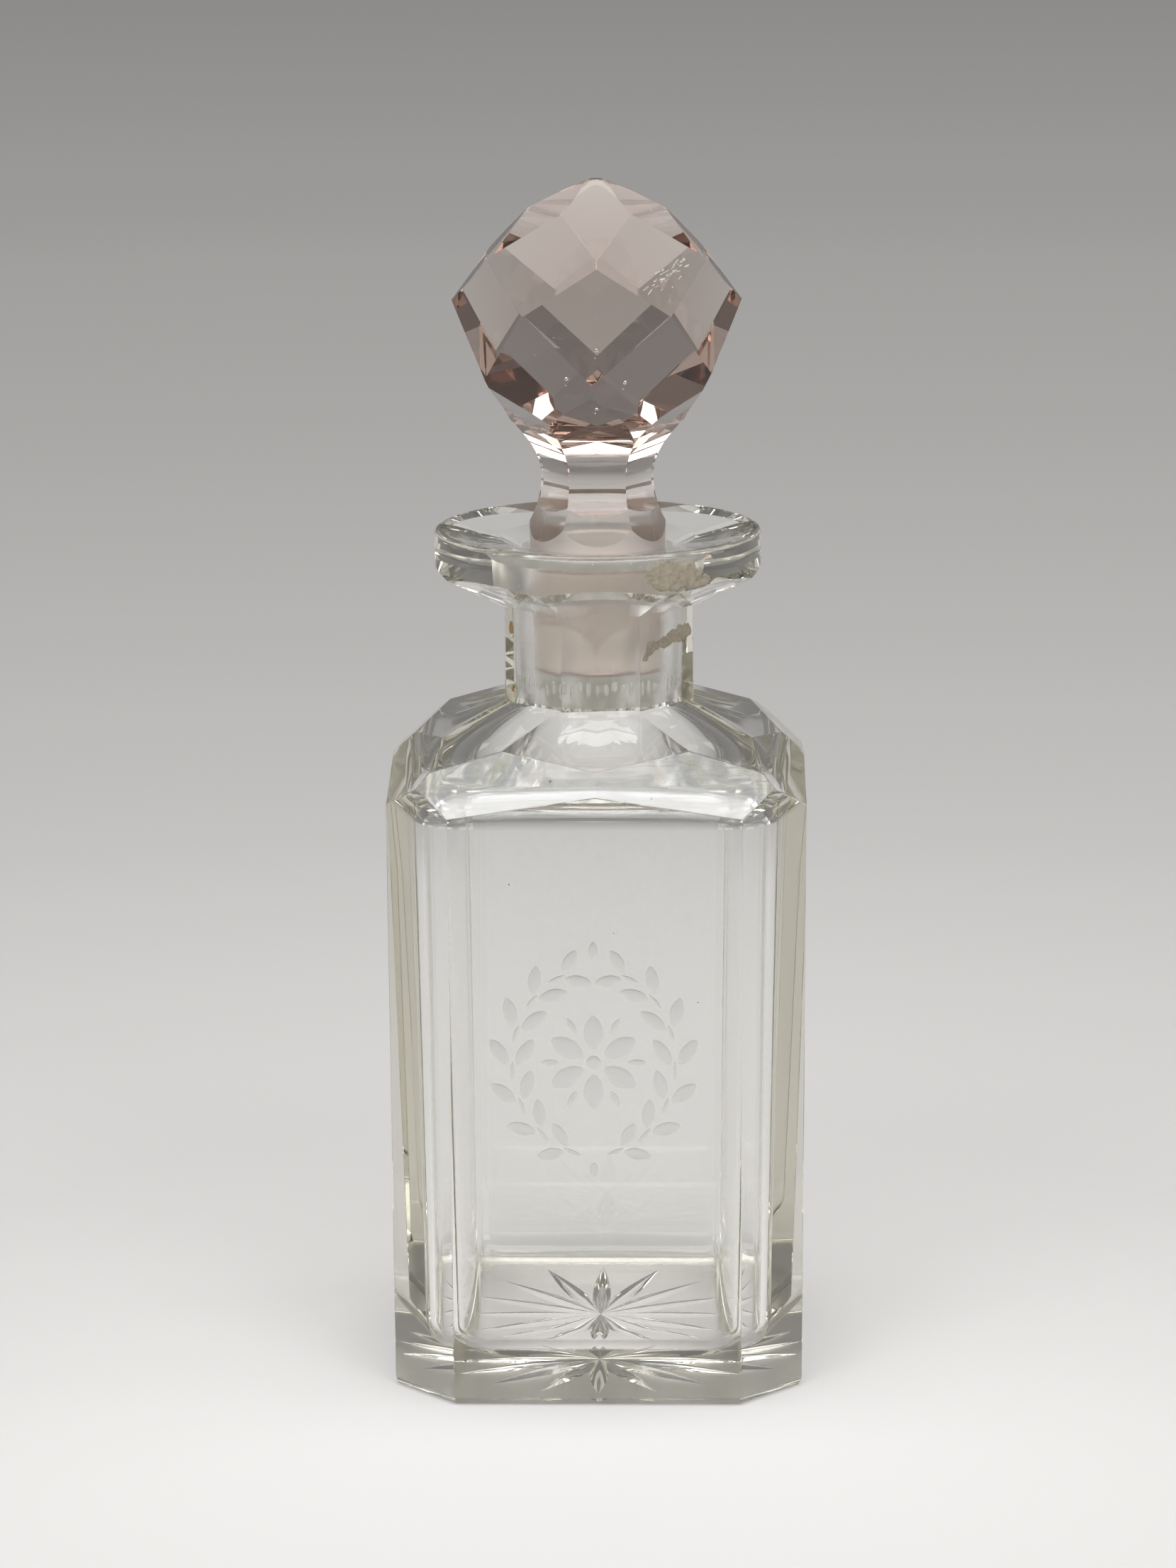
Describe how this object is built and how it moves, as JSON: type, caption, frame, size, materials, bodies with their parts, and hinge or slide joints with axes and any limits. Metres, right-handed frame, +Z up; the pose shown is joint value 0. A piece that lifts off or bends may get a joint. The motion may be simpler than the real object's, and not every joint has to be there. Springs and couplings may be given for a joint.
{
  "type": "glass perfume bottle",
  "caption": "Square cut-glass perfume bottle with cut corners, a faceted shoulder, an eight-sided neck, a flanged lip and a loose faceted ball stopper on a ground plug.",
  "frame": {"origin": "centre of the foot, on the surface the bottle stands on", "axes": "+Z up along the bottle's axis, -Y towards the front face, +X to the right of that face"},
  "size_m": [0.0514, 0.0514, 0.1487],
  "materials": {
    "bottle_glass": "clear cut and polished glass with a faint grey-green tint",
    "stopper_glass": "cut and polished glass with a faint pink tint, plug ground matt"
  },
  "bodies": {
    "bottle": {"bottle": "bottle_glass"},
    "stopper": {"stopper": "stopper_glass"}
  },
  "joints": [
    {"name": "stopper_lift", "type": "slide", "parent": "bottle", "child": "stopper", "axis": [0, 0, 1], "range_m": [0, 0.04]}
  ]
}
